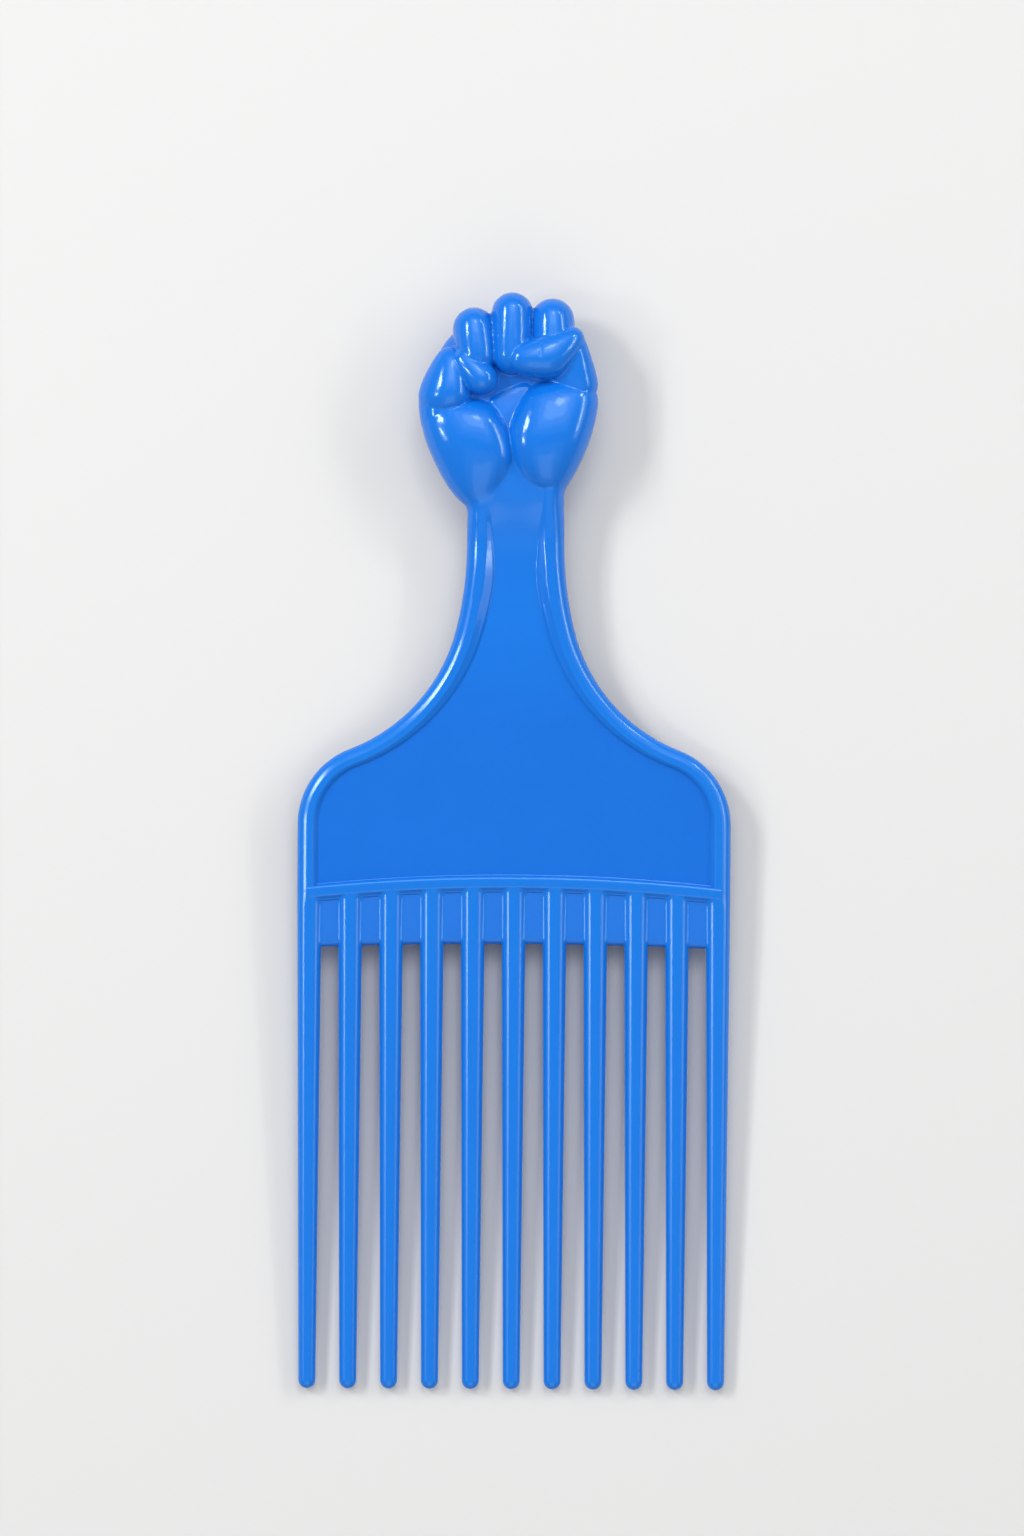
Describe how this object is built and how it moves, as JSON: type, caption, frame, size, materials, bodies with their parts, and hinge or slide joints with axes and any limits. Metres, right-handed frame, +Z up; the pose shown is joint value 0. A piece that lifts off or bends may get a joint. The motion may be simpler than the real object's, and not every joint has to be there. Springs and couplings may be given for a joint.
{
  "type": "afro pick",
  "caption": "One-piece moulded plastic hair pick: long straight teeth under an arched bar, a rimmed paddle, a narrow neck and a raised-fist handle.",
  "frame": {"origin": "centre of the footprint, on the surface that the pick lies on", "axes": "+X across the teeth, +Y from the tooth tips to the fist, +Z up out of the palm side"},
  "size_m": [0.09, 0.228, 0.0172],
  "materials": {
    "glossy_blue": "glossy moulded blue plastic",
    "satin_web": "satin moulded blue plastic with a faint mould grain"
  },
  "bodies": {
    "root": {"paddle_web": "satin_web", "neck_web": "satin_web", "left_rim": "glossy_blue", "right_rim": "glossy_blue", "root_bar": "glossy_blue", "root_web_01": "satin_web", "root_web_02": "satin_web", "root_web_03": "satin_web", "root_web_04": "satin_web", "root_web_05": "satin_web", "root_web_06": "satin_web", "root_web_07": "satin_web", "root_web_08": "satin_web", "root_web_09": "satin_web", "root_web_10": "satin_web", "tooth_01": "glossy_blue", "tooth_02": "glossy_blue", "tooth_03": "glossy_blue", "tooth_04": "glossy_blue", "tooth_05": "glossy_blue", "tooth_06": "glossy_blue", "tooth_07": "glossy_blue", "tooth_08": "glossy_blue", "tooth_09": "glossy_blue", "tooth_10": "glossy_blue", "tooth_11": "glossy_blue", "wrist": "glossy_blue", "palm": "glossy_blue", "thumb_pad": "glossy_blue", "heel_pad": "glossy_blue", "hand_edge": "glossy_blue", "thumb_root": "glossy_blue", "thumb": "glossy_blue", "little_finger": "glossy_blue", "middle_finger": "glossy_blue", "index_finger": "glossy_blue", "ring_finger": "glossy_blue", "palm_hollow": "glossy_blue"}
  },
  "joints": []
}
